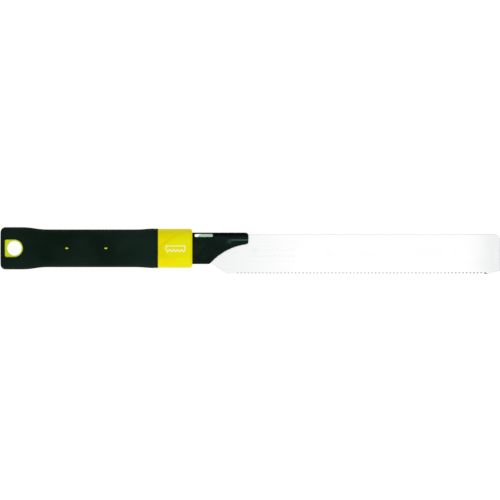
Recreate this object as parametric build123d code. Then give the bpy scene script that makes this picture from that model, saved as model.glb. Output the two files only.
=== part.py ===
from build123d import *
import os
from math import cos, radians, sin, sqrt, tan

# Hand saw with a replaceable pull-stroke blade, lying on one side of its handle.
# Working frame: x = 0 at the collar's front face, y = 0 on the handle's centre line and z = 0 in the
# blade's middle plane. x runs to the blade's tip and y runs from the teeth to the spine.
# Every size is in millimetres, and each one that can be chosen by itself is named once here.

# handle
HANDLE_LENGTH = 172.6  # butt end to collar front
HANDLE_THICKNESS = 25.0
BUTT_HEIGHT = 37.9
WAIST_HEIGHT = 33.8
GRIP_FRONT_HEIGHT = 35.6
BUTT_STRAIGHT = 18.0  # butt end to where the swell starts to fall away
BUTT_FALL = 26.0  # length of that fall
FRONT_FLARE = 22.0  # length of the rise towards the collar
SIDE_LAND_HALF = 6.0  # half the flat strip along the waist's two sides
EDGE_LAND_HALF = 1.4  # half the flat strip along the top and bottom edges
BUTT_ROUND = 4.5
SLEEVE_WALL = 2.0
CORE_WALL = 2.2
LIP_WIDTH = 2.2  # raised band at the sleeve's front end
LIP_GROOVE_WIDTH = 0.7
LIP_GROOVE_DEPTH = 0.4

# window in the sleeve's butt, and the hang hole inside it
HANG_HOLE_R = 6.6
HANG_HOLE_FROM_BUTT = 12.5
HANG_TUBE_WALL = 2.0
HANG_CHAMFER = 0.5
WINDOW_REAR_MARGIN = 3.4  # butt end to the window's straight edge
WINDOW_RING = 1.2  # land left around the hang hole
WINDOW_CORNER = 1.6
WINDOW_RECESS = 1.0  # land surface below the sleeve's surface

# small lens-shaped pips of the core that show through the sleeve
PIPS_FROM_BUTT = (59.8, 94.9)
PIP_LENGTH = 3.0
PIP_WIDTH = 1.4
PIP_RECESS = 0.2

# collar
COLLAR_LENGTH = 30.9
COLLAR_HEIGHT = 35.2
COLLAR_WALL = 2.2
COLLAR_FRONT_WALL = 3.5
COLLAR_CHAMFER = 1.4
COLLAR_LEAF_STEP = 0.5  # how far the leaf-shaped panel stands above the collar
LEAF_LENGTH = 27.2
LEAF_HALF_HEIGHT = 14.6
LEAF_BULGE = 3.0  # rise of each leaf edge above its chord
LEAF_FRONT_GAP = 1.6

# head bracket, folded from one sheet
SHEET = 1.5
BRACKET_HALF_THICKNESS = 2.6
BRACKET_HEIGHT = 28.4
BRACKET_REACH = 50.5  # collar front to nose
BRACKET_TAIL = 26.0  # length hidden behind the collar front
NOSE_HEIGHT = 10.4
NOSE_TOP_ROUND = 2.6
NOSE_BOTTOM_ROUND = 2.0
THROAT_X = 15.6  # where the lower edge leaves the full height
THROAT_ROUND = 2.5
THROAT_BULGE = 3.8
TAIL_CORNER = 3.0
CREASE_DROP = 6.9  # spine to the crease of the pinched flange
CREASE_START = 34.0
CREASE_SLOPE = 1.0  # run of the joggle
GAUGE_SLOT_X = 10.4  # centre of the window slot
GAUGE_SLOT_LENGTH = 16.6
GAUGE_SLOT_WIDTH = 2.6
GAUGE_SLOT_DROP = 2.7  # spine to the slot's centre line
COIN_R = 7.3  # coined dimple round the hook pin
COIN_SLOPE = 0.8

# hook pin
PIN_X = 10.0
PIN_BELOW_AXIS = 4.9
PIN_R = 2.0
PIN_HEAD_R = 2.7
PIN_HEAD_HEIGHT = 0.5

# blade
BLADE_THICKNESS = 0.6
BLADE_REACH = 276.8  # collar front to blade tip
TEETH_BELOW_AXIS = 23.0  # tooth tips
HEEL_X = 30.8  # where the heel slant meets the tooth line
HEEL_SLOPE_DEG = 35.3
TANG_REAR_X = 2.0
TANG_LOWER_EDGE = 11.7  # below the handle's centre line
TANG_SHOULDER_Y = 7.5
TANG_SLANT_DEG = 48.0
HOOK_MOUTH_DEG = 225.0  # the way that the hook opens
HEEL_BLANK = 7.6
TIP_BLANK = 2.0
TIP_TOP_CUT = 3.4
TIP_BOTTOM_CUT_X = 9.7
TIP_BOTTOM_CUT_Y = 2.7
TOOTH_PITCH = 1.637
TOOTH_HEIGHT = 1.15
TOOTH_LEAD = 0.42  # run of the cutting face, which looks at the handle

# tang plate, rivets, dowels and screws inside the handle
PLATE_FRONT_GAP = 3.5  # clear of the blade's tang
PLATE_REAR = 78.0
PLATE_HALF_HEIGHT = 8.0
PLATE_CORNER = 3.0
RIVETS_BEHIND_FRONT = (8.5, 19.5)
RIVET_R = 2.0
RIVET_HEAD_R = 3.0
RIVET_HEAD_DEPTH = 1.0
DOWELS_BEHIND_FRONT = (42.0, 66.0)
DOWEL_R = 2.0
DOWEL_HALF_LENGTH = 8.0
DOWEL_BOSS_R = 4.6
SCREWS_BEHIND_FRONT = (97.0, 133.0)
SCREW_NECK_R = 1.5
SCREW_ROOT_R = 1.2
SCREW_HEAD_R = 2.9
SCREW_DEPTH = 7.0  # thread beyond the joint of the two halves
SCREW_SOCKET_R = 1.1
SCREW_SOCKET_DEPTH = 1.1
SCREW_BOSS_R = 3.8
RIB_PITCH = 12.0
RIB_THICKNESS = 1.6
RIB_END_MARGIN = 6.0

# fits
HOOK_CLEARANCE = 0.05  # hook on pin, radial
BLADE_SIDE_CLEARANCE = 0.05  # blade to each pinched cheek
SPINE_CLEARANCE = 0.15  # blade's back to the roof of the channel
BRACKET_CLEARANCE = 0.1  # bracket in collar and core
NOSE_CLEARANCE = 0.1  # core in collar
THREAD_CLEARANCE = 0.02
PLATE_CLEARANCE = 0.1
CUT = 1.0  # how far a cutting solid runs past the surface that it cuts

# derived places
HANDLE_HALF = HANDLE_THICKNESS / 2
SIDE_ROUND = min(WAIST_HEIGHT / 2 - SIDE_LAND_HALF, HANDLE_HALF - EDGE_LAND_HALF)  # long edges' radius
BUTT_X = -HANDLE_LENGTH
CORE_HALF = HANDLE_HALF - SLEEVE_WALL
COLLAR_HALF = HANDLE_HALF - COLLAR_LEAF_STEP
CHEEK_INSIDE = BRACKET_HALF_THICKNESS - SHEET
PINCH_INSIDE = BLADE_THICKNESS / 2 + BLADE_SIDE_CLEARANCE
PINCH_OUTSIDE = PINCH_INSIDE + SHEET
SPINE_TOP = BRACKET_HEIGHT / 2
FOLD_CENTRE_Y = SPINE_TOP - BRACKET_HALF_THICKNESS
PIN_Y = -PIN_BELOW_AXIS
BLADE_BACK_Y = FOLD_CENTRE_Y + sqrt(CHEEK_INSIDE**2 - (BLADE_THICKNESS / 2) ** 2) - SPINE_CLEARANCE
HANG_X = BUTT_X + HANG_HOLE_FROM_BUTT
LAND_HALF = HANDLE_HALF - WINDOW_RECESS
NOSE_HALF = COLLAR_HALF - COLLAR_WALL - NOSE_CLEARANCE
NOSE_HALF_HEIGHT = COLLAR_HEIGHT / 2 - COLLAR_WALL - NOSE_CLEARANCE


def prism(face, low, high):
    """A flat face of the XY plane, made into a solid between two heights."""
    return extrude(Pos(0, 0, low) * face, high - low)


def both_sides(solid):
    """The solid and its mirror image in the blade's middle plane."""
    return solid + mirror(solid, Plane.XY)


def bar(half_height, half_thickness, edge_round, x_low, x_high):
    """A straight bar along x with rounded long edges."""
    section = Plane.YZ.offset(x_low) * RectangleRounded(2 * half_height, 2 * half_thickness, edge_round)
    return extrude(section, x_high - x_low)


def handle_body(inset):
    """The grip's whole volume, from the butt to the collar, shrunk by an inset on every side but the front."""
    butt = BUTT_HEIGHT / 2 - inset
    waist = WAIST_HEIGHT / 2 - inset
    front = GRIP_FRONT_HEIGHT / 2 - inset
    x_butt = BUTT_X + inset
    x_fall = BUTT_X + BUTT_STRAIGHT
    x_waist = x_fall + BUTT_FALL
    x_front = -COLLAR_LENGTH
    x_flare = x_front - FRONT_FLARE
    x_fall_mid = (x_fall + x_waist) / 2
    x_flare_mid = (x_flare + x_front) / 2
    with BuildSketch() as plan:
        with BuildLine():
            Line((x_butt, 0), (x_butt, butt))
            Line((x_butt, butt), (x_fall, butt))
            Bezier((x_fall, butt), (x_fall_mid, butt), (x_fall_mid, waist), (x_waist, waist))
            Line((x_waist, waist), (x_flare, waist))
            Bezier((x_flare, waist), (x_flare_mid, waist), (x_flare_mid, front), (x_front, front))
            Line((x_front, front), (x_front, 0))
            mirror(about=Plane.XZ)
        make_face()
    half = HANDLE_HALF - inset
    body = prism(plan.sketch, -half, half)
    long_edges = body.edges().group_by(Axis.Z)[0] + body.edges().group_by(Axis.Z)[-1]
    body = fillet(long_edges.filter_by(Axis.Y, reverse=True), SIDE_ROUND - inset)
    return fillet(body.faces().sort_by(Axis.X)[0].edges(), max(BUTT_ROUND - inset, 1.0))


def window_face():
    """The window's D shape: straight and round-cornered towards the butt, a half circle towards the blade."""
    half = HANG_HOLE_R + WINDOW_RING
    x_rear = BUTT_X + WINDOW_REAR_MARGIN
    with BuildSketch() as window:
        with BuildLine():
            Polyline((HANG_X, half), (x_rear, half), (x_rear, -half), (HANG_X, -half))
            ThreePointArc((HANG_X, -half), (HANG_X + half, 0), (HANG_X, half))
        make_face()
        fillet(window.vertices().group_by(Axis.X)[0], WINDOW_CORNER)
    return window.sketch


def pip_face(from_butt):
    """A lens shape between two arcs."""
    x = BUTT_X + from_butt
    with BuildSketch() as lens:
        with BuildLine():
            ThreePointArc((x - PIP_LENGTH / 2, 0), (x, PIP_WIDTH / 2), (x + PIP_LENGTH / 2, 0))
            ThreePointArc((x + PIP_LENGTH / 2, 0), (x, -PIP_WIDTH / 2), (x - PIP_LENGTH / 2, 0))
        make_face()
    return lens.sketch


def core_envelope():
    """The core's outer volume: the body under the sleeve, the nose in the collar, the land and the pips."""
    envelope = handle_body(SLEEVE_WALL)
    envelope += bar(NOSE_HALF_HEIGHT, NOSE_HALF, nose_round(), -COLLAR_LENGTH - CUT, -COLLAR_FRONT_WALL)
    envelope += both_sides(prism(window_face(), 0, LAND_HALF))
    for from_butt in PIPS_FROM_BUTT:
        envelope += both_sides(prism(pip_face(from_butt), 0, HANDLE_HALF - PIP_RECESS))
    return envelope


def nose_round():
    """Long-edge radius of the core's nose, one collar wall inside the collar's own."""
    return collar_round() - COLLAR_WALL


def collar_round():
    """Long-edge radius of the collar."""
    return SIDE_ROUND - COLLAR_LEAF_STEP


def cylinder_z(x, y, radius, low, high):
    """An upright cylinder between two heights."""
    return prism(Pos(x, y) * Circle(radius), low, high)


def cone_z(x, radius_low, radius_high, low, high):
    """An upright cone frustum on the centre line."""
    return Pos(x, 0, (low + high) / 2) * Cone(radius_low, radius_high, high - low)


def core_half(envelope, side):
    """One half shell of the core. side is +1 for the upper half and -1 for the lower half."""
    low, high = (0, HANDLE_THICKNESS) if side > 0 else (-HANDLE_THICKNESS, 0)
    inside = handle_body(SLEEVE_WALL + CORE_WALL)
    inside += bar(
        NOSE_HALF_HEIGHT - CORE_WALL,
        NOSE_HALF - CORE_WALL,
        nose_round() - CORE_WALL,
        -COLLAR_LENGTH - CUT,
        -COLLAR_FRONT_WALL - CORE_WALL,
    )
    filling = ribs() + bosses(side)
    shell = envelope - (inside - filling)
    shell -= bracket_section(BRACKET_CLEARANCE, -BRACKET_TAIL - BRACKET_CLEARANCE, CUT)
    shell -= plate(PLATE_CLEARANCE)
    shell -= cylinder_z(HANG_X, 0, HANG_HOLE_R, -HANDLE_THICKNESS, HANDLE_THICKNESS)
    rim = LAND_HALF - HANG_CHAMFER
    flare = cone_z(HANG_X, HANG_HOLE_R, HANG_HOLE_R + HANG_CHAMFER, rim, LAND_HALF)
    shell -= both_sides(flare)
    for behind in DOWELS_BEHIND_FRONT:
        shell -= cylinder_z(-behind, 0, DOWEL_R, -DOWEL_HALF_LENGTH, DOWEL_HALF_LENGTH)
    for behind in SCREWS_BEHIND_FRONT:
        shell -= screw_space(-behind)
    keep = Pos(-HANDLE_LENGTH / 2, 0, (low + high) / 2) * Box(2 * HANDLE_LENGTH, 2 * BUTT_HEIGHT, high - low)
    return shell & keep


def ribs():
    """Stiffening walls across the core, held back from the tang plate's plane."""
    first = BUTT_X + SLEEVE_WALL + CORE_WALL + RIB_END_MARGIN
    last = -COLLAR_FRONT_WALL - CORE_WALL - RIB_END_MARGIN
    count = int((last - first) / RIB_PITCH)
    height = HANDLE_HALF
    gap = CHEEK_INSIDE + PLATE_CLEARANCE
    walls = Part()
    for i in range(count + 1):
        wall = Pos(last - i * RIB_PITCH, 0, gap + height / 2) * Box(RIB_THICKNESS, BUTT_HEIGHT, height)
        walls += both_sides(wall)
    return walls


def bosses(side):
    """The hang hole's tube, the dowel bosses and the screw bosses, solid up to the joint plane."""
    reach = HANDLE_HALF
    group = cylinder_z(HANG_X, 0, HANG_HOLE_R + HANG_TUBE_WALL, -reach, reach)
    for behind in DOWELS_BEHIND_FRONT:
        group += cylinder_z(-behind, 0, DOWEL_BOSS_R, -reach, reach)
    for behind in SCREWS_BEHIND_FRONT:
        radius = SCREW_BOSS_R if side > 0 else max(SCREW_BOSS_R, SCREW_HEAD_R + CORE_WALL)
        group += cylinder_z(-behind, 0, radius, -reach, reach)
    return group


def screw_body(x, grow):
    """A countersunk screw, driven from below, or its space when grown by a clearance."""
    head_low = -CORE_HALF
    head_high = head_low + SCREW_HEAD_R - SCREW_NECK_R
    tip = SCREW_DEPTH - SCREW_ROOT_R
    body = cone_z(x, SCREW_HEAD_R + grow, SCREW_NECK_R + grow, head_low, head_high)
    body += cylinder_z(x, 0, SCREW_NECK_R + grow, head_high, 0)
    body += cylinder_z(x, 0, SCREW_ROOT_R + grow, 0, tip)
    return body + cone_z(x, SCREW_ROOT_R + grow, SCREW_ROOT_R / 4, tip, SCREW_DEPTH)


def screw_space(x):
    """What a screw takes out of the two core halves."""
    return screw_body(x, THREAD_CLEARANCE) + cylinder_z(x, 0, SCREW_HEAD_R + THREAD_CLEARANCE, -HANDLE_HALF, -CORE_HALF)


def screw(x):
    """A countersunk self-tapping screw with a hexagon socket."""
    socket = Pos(x, 0) * RegularPolygon(SCREW_SOCKET_R, 6)
    return screw_body(x, 0) - prism(socket, -HANDLE_HALF, -CORE_HALF + SCREW_SOCKET_DEPTH)


def dowel(x):
    """A cross pin with bevelled ends."""
    pin = cylinder_z(x, 0, DOWEL_R, -DOWEL_HALF_LENGTH, DOWEL_HALF_LENGTH)
    return chamfer(pin.edges().filter_by(GeomType.CIRCLE), DOWEL_R / 5)


def sleeve(envelope):
    """The soft grip moulded over the core."""
    grip = handle_body(0) - envelope
    grip -= prism(window_face(), -HANDLE_THICKNESS, HANDLE_THICKNESS)
    for from_butt in PIPS_FROM_BUTT:
        grip -= prism(pip_face(from_butt), -HANDLE_THICKNESS, HANDLE_THICKNESS)
    groove_front = -COLLAR_LENGTH - LIP_WIDTH
    groove_rear = groove_front - LIP_GROOVE_WIDTH
    band = Pos((groove_rear + groove_front) / 2) * Box(LIP_GROOVE_WIDTH, 2 * BUTT_HEIGHT, 2 * HANDLE_THICKNESS)
    return grip - (band - handle_body(LIP_GROOVE_DEPTH))


def leaf_face():
    """The pointed panel on the collar's sides: two arcs that meet in a point towards the butt."""
    x_front = -LEAF_FRONT_GAP
    x_point = x_front - LEAF_LENGTH
    chord = sqrt(LEAF_LENGTH**2 + LEAF_HALF_HEIGHT**2)
    x_bulge = (x_point + x_front) / 2 - LEAF_BULGE * LEAF_HALF_HEIGHT / chord
    y_bulge = LEAF_HALF_HEIGHT / 2 + LEAF_BULGE * LEAF_LENGTH / chord
    with BuildSketch() as leaf:
        with BuildLine():
            ThreePointArc((x_point, 0), (x_bulge, y_bulge), (x_front, LEAF_HALF_HEIGHT))
            Line((x_front, LEAF_HALF_HEIGHT), (x_front, -LEAF_HALF_HEIGHT))
            ThreePointArc((x_front, -LEAF_HALF_HEIGHT), (x_bulge, -y_bulge), (x_point, 0))
        make_face()
    return leaf.sketch


def collar():
    """The moulded collar: a closed front wall with the bracket's slot, and a socket for the core's nose."""
    half_height = COLLAR_HEIGHT / 2
    shell = bar(half_height, COLLAR_HALF, collar_round(), -COLLAR_LENGTH, 0)
    shell = chamfer(shell.faces().sort_by(Axis.X)[-1].edges(), COLLAR_CHAMFER)
    raised = bar(half_height, HANDLE_HALF, SIDE_ROUND, -COLLAR_LENGTH, 0)
    shell += raised & prism(leaf_face(), -HANDLE_THICKNESS, HANDLE_THICKNESS)
    shell -= bar(
        NOSE_HALF_HEIGHT + NOSE_CLEARANCE,
        NOSE_HALF + NOSE_CLEARANCE,
        nose_round() + NOSE_CLEARANCE,
        -COLLAR_LENGTH - CUT,
        -COLLAR_FRONT_WALL,
    )
    return shell - bracket_section(BRACKET_CLEARANCE, -COLLAR_LENGTH, CUT)


def bracket_section(grow, x_low, x_high):
    """The bracket's outer section run along x: flat cheeks under a round fold, grown by a clearance."""
    half = BRACKET_HALF_THICKNESS + grow
    bottom = -BRACKET_HEIGHT / 2 - grow
    with BuildSketch(Plane.YZ.offset(x_low)) as section:
        with BuildLine():
            Polyline((FOLD_CENTRE_Y, half), (bottom, half), (bottom, -half), (FOLD_CENTRE_Y, -half))
            ThreePointArc((FOLD_CENTRE_Y, -half), (FOLD_CENTRE_Y + half, 0), (FOLD_CENTRE_Y, half))
        make_face()
    return extrude(section.sketch, x_high - x_low)


def channel_section():
    """The space between the cheeks, with the round roof of the spine channel."""
    bottom = -BRACKET_HEIGHT / 2 - CUT
    with BuildSketch(Plane.YZ.offset(-BRACKET_TAIL - CUT)) as section:
        with BuildLine():
            Polyline(
                (FOLD_CENTRE_Y, CHEEK_INSIDE),
                (bottom, CHEEK_INSIDE),
                (bottom, -CHEEK_INSIDE),
                (FOLD_CENTRE_Y, -CHEEK_INSIDE),
            )
            ThreePointArc(
                (FOLD_CENTRE_Y, -CHEEK_INSIDE),
                (FOLD_CENTRE_Y + CHEEK_INSIDE, 0),
                (FOLD_CENTRE_Y, CHEEK_INSIDE),
            )
        make_face()
    return extrude(section.sketch, BRACKET_TAIL + BRACKET_REACH + 2 * CUT)


def cheek_face():
    """The bracket seen from the side: full height at the collar, cut away in one long curve to the nose."""
    top = SPINE_TOP
    bottom = -BRACKET_HEIGHT / 2
    nose_bottom = top - NOSE_HEIGHT
    run = BRACKET_REACH - THROAT_X
    rise = nose_bottom - bottom
    chord = sqrt(run**2 + rise**2)
    x_bulge = THROAT_X + run / 2 - THROAT_BULGE * rise / chord
    y_bulge = bottom + rise / 2 + THROAT_BULGE * run / chord
    with BuildSketch() as cheek:
        with BuildLine():
            Polyline((THROAT_X, bottom), (-BRACKET_TAIL, bottom), (-BRACKET_TAIL, top), (BRACKET_REACH, top))
            Line((BRACKET_REACH, top), (BRACKET_REACH, nose_bottom))
            ThreePointArc((BRACKET_REACH, nose_bottom), (x_bulge, y_bulge), (THROAT_X, bottom))
        make_face()
        tail = cheek.vertices().group_by(Axis.X)[0]
        nose = cheek.vertices().group_by(Axis.X)[-1].sort_by(Axis.Y)
        throat = cheek.vertices().sort_by(lambda v: abs(v.X - THROAT_X) + abs(v.Y - bottom))[0]
        fillet(tail, TAIL_CORNER)
        fillet(nose[-1], NOSE_TOP_ROUND)
        fillet(nose[0], NOSE_BOTTOM_ROUND)
        fillet(throat, THROAT_ROUND)
    return cheek.sketch


def pinch_band(depth_high, depth_low):
    """The volume between two depths over the pinched flange, with sloped ends at the crease."""
    crease = SPINE_TOP - CREASE_DROP
    far = -BRACKET_HEIGHT
    end = BRACKET_REACH + CUT
    across = Polyline(
        (crease + CREASE_SLOPE, depth_high), (crease, depth_low), (far, depth_low), (far, depth_high), close=True
    )
    along = Polyline(
        (CREASE_START, depth_high),
        (CREASE_START + CREASE_SLOPE, depth_low),
        (end, depth_low),
        (end, depth_high),
        close=True,
    )
    across_face = Plane.YZ.offset(CREASE_START - CUT) * make_face(across)
    along_face = Plane(origin=(0, far, 0), x_dir=(1, 0, 0), z_dir=(0, -1, 0)) * make_face(along)
    return extrude(across_face, end - CREASE_START + 2 * CUT) & extrude(along_face, -4 * BRACKET_HEIGHT)


def bracket():
    """The folded bracket: spine fold, two cheeks, pinched nose flange, gauge slot and coined dimples."""
    outline = prism(cheek_face(), -HANDLE_HALF, HANDLE_HALF)
    sheet = bracket_section(0, -BRACKET_TAIL, BRACKET_REACH) - channel_section()
    inner_pad = pinch_band(CHEEK_INSIDE, PINCH_INSIDE)
    inner_pad += dimple(CHEEK_INSIDE, PINCH_INSIDE)
    sheet += both_sides(inner_pad)
    outer_cut = pinch_band(BRACKET_HALF_THICKNESS, PINCH_OUTSIDE)
    outer_cut += dimple(BRACKET_HALF_THICKNESS, PINCH_OUTSIDE)
    sheet -= both_sides(outer_cut)
    sheet &= outline
    slot = Pos(GAUGE_SLOT_X, SPINE_TOP - GAUGE_SLOT_DROP) * SlotOverall(GAUGE_SLOT_LENGTH, GAUGE_SLOT_WIDTH)
    sheet -= prism(slot, -HANDLE_HALF, HANDLE_HALF)
    sheet -= cylinder_z(PIN_X, PIN_Y, PIN_R, -HANDLE_HALF, HANDLE_HALF)
    for behind in RIVETS_BEHIND_FRONT:
        sheet -= rivet(-behind)
    return sheet


def dimple(depth_high, depth_low):
    """The coined dimple's volume round the pin between two depths, narrower at the bottom."""
    cone = Cone(COIN_R - COIN_SLOPE, COIN_R, depth_high - depth_low)
    return Pos(PIN_X, PIN_Y, (depth_high + depth_low) / 2) * cone


def rivet(x):
    """A flush rivet through both cheeks and the tang plate."""
    head_low = BRACKET_HALF_THICKNESS - RIVET_HEAD_DEPTH
    head = cone_z(x, RIVET_R, RIVET_HEAD_R, head_low, BRACKET_HALF_THICKNESS)
    return cylinder_z(x, 0, RIVET_R, -head_low, head_low) + both_sides(head)


def hook_pin():
    """The pin riveted across the cheeks, with low domed heads in the dimples."""
    pin = cylinder_z(PIN_X, PIN_Y, PIN_R, -PINCH_OUTSIDE, PINCH_OUTSIDE)
    head = cylinder_z(PIN_X, PIN_Y, PIN_HEAD_R, PINCH_OUTSIDE, PINCH_OUTSIDE + PIN_HEAD_HEIGHT)
    head = fillet(head.edges().group_by(Axis.Z)[-1], PIN_HEAD_HEIGHT * 0.8)
    return pin + both_sides(head)


def plate(grow):
    """The tang plate, or its pocket when grown by a clearance."""
    x_front = -PLATE_FRONT_GAP + TANG_REAR_X + grow
    x_rear = -PLATE_REAR - grow
    half = PLATE_HALF_HEIGHT + grow
    face = Pos((x_front + x_rear) / 2) * RectangleRounded(x_front - x_rear, 2 * half, PLATE_CORNER)
    return prism(face, -CHEEK_INSIDE - grow, CHEEK_INSIDE + grow)


def tang_plate():
    """The stiff tongue between the cheeks that runs back into the handle."""
    tongue = plate(0)
    for behind in RIVETS_BEHIND_FRONT:
        tongue -= cylinder_z(-behind, 0, RIVET_R, -HANDLE_HALF, HANDLE_HALF)
    for behind in DOWELS_BEHIND_FRONT:
        tongue -= cylinder_z(-behind, 0, DOWEL_R, -HANDLE_HALF, HANDLE_HALF)
    return tongue


def toothed_edge():
    """Points of the toothed edge from the heel to the tip: gullets and points of raked pull-stroke teeth."""
    tip_line = -TEETH_BELOW_AXIS
    first = HEEL_X + HEEL_BLANK
    last = BLADE_REACH - TIP_BOTTOM_CUT_X - TIP_BLANK
    points = []
    for i in range(int((last - first) / TOOTH_PITCH)):
        x = first + i * TOOTH_PITCH
        points.append((x, tip_line + TOOTH_HEIGHT))
        points.append((x + TOOTH_LEAD, tip_line))
    return points


def blade():
    """The blade: toothed edge, bevelled tip, slanted heel and a tang with an open hook for the pin."""
    tip_line = -TEETH_BELOW_AXIS
    swing_r = BLADE_BACK_Y - PIN_Y
    slant = tan(radians(TANG_SLANT_DEG))
    # the tang's back corner is an arc about the pin, met by the slant at this x
    drop = BLADE_BACK_Y - TANG_SHOULDER_Y
    x_slant_top = TANG_REAR_X + drop / slant
    arc_dx = x_slant_top - PIN_X
    corner = (x_slant_top, PIN_Y + sqrt(swing_r**2 - arc_dx**2))
    arc_mid = (PIN_X + arc_dx / 2, PIN_Y + sqrt(swing_r**2 - (arc_dx / 2) ** 2))
    hook_r = PIN_R + HOOK_CLEARANCE
    along = (cos(radians(HOOK_MOUTH_DEG)), sin(radians(HOOK_MOUTH_DEG)))
    upper = (PIN_X + hook_r * along[1], PIN_Y - hook_r * along[0])
    lower = (PIN_X - hook_r * along[1], PIN_Y + hook_r * along[0])
    back = (PIN_X - hook_r * along[0], PIN_Y - hook_r * along[1])
    jaw = (TANG_REAR_X, upper[1] + (TANG_REAR_X - upper[0]) * along[1] / along[0])
    lip_y = -TANG_LOWER_EDGE
    lip = (lower[0] + (lip_y - lower[1]) * along[0] / along[1], lip_y)
    heel_top = HEEL_X - (TEETH_BELOW_AXIS - TANG_LOWER_EDGE) / tan(radians(HEEL_SLOPE_DEG))
    with BuildSketch() as outline:
        with BuildLine():
            ThreePointArc((PIN_X, BLADE_BACK_Y), arc_mid, corner)
            Polyline(corner, (TANG_REAR_X, TANG_SHOULDER_Y), jaw, upper)
            ThreePointArc(upper, back, lower)
            Polyline(
                lower,
                lip,
                (heel_top, lip_y),
                (HEEL_X, tip_line),
                (HEEL_X + HEEL_BLANK - TOOTH_LEAD, tip_line),
                *toothed_edge(),
                (BLADE_REACH - TIP_BOTTOM_CUT_X, tip_line),
                (BLADE_REACH, tip_line + TIP_BOTTOM_CUT_Y),
                (BLADE_REACH, BLADE_BACK_Y - TIP_TOP_CUT),
                (BLADE_REACH - TIP_TOP_CUT, BLADE_BACK_Y),
                (PIN_X, BLADE_BACK_Y),
            )
        make_face()
    return prism(outline.sketch, -BLADE_THICKNESS / 2, BLADE_THICKNESS / 2)


def saw():
    """Every node of the saw, by name."""
    envelope = core_envelope()
    return {
        "saw_blade": blade(),
        "head_bracket": bracket(),
        "hook_pin": hook_pin(),
        "tang_plate": tang_plate(),
        "tang_rivets": Compound([rivet(-behind) for behind in RIVETS_BEHIND_FRONT]),
        "tang_dowels": Compound([dowel(-behind) for behind in DOWELS_BEHIND_FRONT]),
        "core_upper": core_half(envelope, 1),
        "core_lower": core_half(envelope, -1),
        "core_screws": Compound([screw(-behind) for behind in SCREWS_BEHIND_FRONT]),
        "front_collar": collar(),
        "grip_sleeve": sleeve(envelope),
    }


# The saw stands on its lower side, with the origin under the middle of its outline.
seat = Pos(
    (HANDLE_LENGTH - BLADE_REACH) / 2,
    (TEETH_BELOW_AXIS - BUTT_HEIGHT / 2) / 2,
    HANDLE_HALF,
)

os.makedirs("parts", exist_ok=True)
for name, solid in saw().items():
    export_step(seat * solid, f"parts/{name}.step")
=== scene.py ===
"""Visual model of a pull saw with a replaceable blade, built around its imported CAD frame."""

import logging
from collections.abc import Callable, Iterator
from contextlib import contextmanager
from dataclasses import dataclass
from enum import Enum
from math import pi, radians, sin, sqrt

import bmesh
import bpy
from bpy.types import Material, Node, NodeSocket, Object
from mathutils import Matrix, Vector

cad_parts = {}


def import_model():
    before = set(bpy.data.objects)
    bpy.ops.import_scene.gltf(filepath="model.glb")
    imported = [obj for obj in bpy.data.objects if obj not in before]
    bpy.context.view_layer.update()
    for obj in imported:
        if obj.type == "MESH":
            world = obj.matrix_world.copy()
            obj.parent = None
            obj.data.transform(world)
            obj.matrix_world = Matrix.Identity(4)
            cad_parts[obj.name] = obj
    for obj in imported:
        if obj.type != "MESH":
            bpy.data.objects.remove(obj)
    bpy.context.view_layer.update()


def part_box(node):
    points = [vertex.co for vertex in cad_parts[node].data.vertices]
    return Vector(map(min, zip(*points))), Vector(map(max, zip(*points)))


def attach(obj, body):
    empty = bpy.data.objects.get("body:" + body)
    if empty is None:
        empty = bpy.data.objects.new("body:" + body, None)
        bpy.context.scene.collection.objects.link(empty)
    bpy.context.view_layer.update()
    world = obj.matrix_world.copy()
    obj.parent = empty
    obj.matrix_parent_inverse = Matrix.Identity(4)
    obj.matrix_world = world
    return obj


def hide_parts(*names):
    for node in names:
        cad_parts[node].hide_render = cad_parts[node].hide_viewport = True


MM = 0.001
NEAR = 0.004 * MM
LOG = logging.getLogger("saw")

Colour = tuple[float, float, float, float]
Factors = tuple[float, float, float]


class Slot(Enum):
    """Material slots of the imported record."""

    BLADE = "blade_steel"
    BRACKET = "bracket_black"
    PIN = "pin_black"
    PLAIN = "plain_steel"
    CORE = "core_yellow"
    COLLAR = "collar_yellow"
    GRIP = "grip_black"


class Body(Enum):
    """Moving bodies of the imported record."""

    HANDLE = "handle"
    BLADE = "blade"


class Join(Enum):
    """How two solids are combined."""

    CUT = "DIFFERENCE"
    ADD = "UNION"
    KEEP = "INTERSECT"


# ---------------------------------------------------------------- workbench


def clear_selection() -> None:
    """Go to object mode with nothing selected."""
    if bpy.context.object and bpy.context.object.mode != "OBJECT":
        bpy.ops.object.mode_set(mode="OBJECT")
    bpy.ops.object.select_all(action="DESELECT")


def make_active(piece: Object) -> None:
    """Select one piece alone and make it the active one."""
    clear_selection()
    piece.select_set(True)
    bpy.context.view_layer.objects.active = piece


def keep_new(name: str) -> Object:
    """Name the primitive that was just added and put its place into its mesh.

    Args:
        name: The new object's name.

    Returns:
        The object, at the origin and unscaled.
    """
    piece = bpy.context.active_object
    piece.name = name
    piece.data.name = name
    bpy.ops.object.transform_apply(location=True, rotation=True, scale=True)
    return piece


def add_box(name: str, low: Vector, high: Vector) -> Object:
    """Add a box between two corners.

    Args:
        name: The object's name.
        low: Lowest corner.
        high: Highest corner.

    Returns:
        The box.
    """
    clear_selection()
    bpy.ops.mesh.primitive_cube_add(size=1.0, location=(low + high) / 2, scale=high - low)
    return keep_new(name)


def add_cylinder(name: str, centre: Vector, radius: float, height: float, sides: int = 64) -> Object:
    """Add an upright cylinder.

    Args:
        name: The object's name.
        centre: Middle of the cylinder.
        radius: Its radius.
        height: Its whole height.
        sides: Number of facets.

    Returns:
        The cylinder.
    """
    clear_selection()
    bpy.ops.mesh.primitive_cylinder_add(vertices=sides, radius=radius, depth=height, location=centre)
    return keep_new(name)


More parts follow.
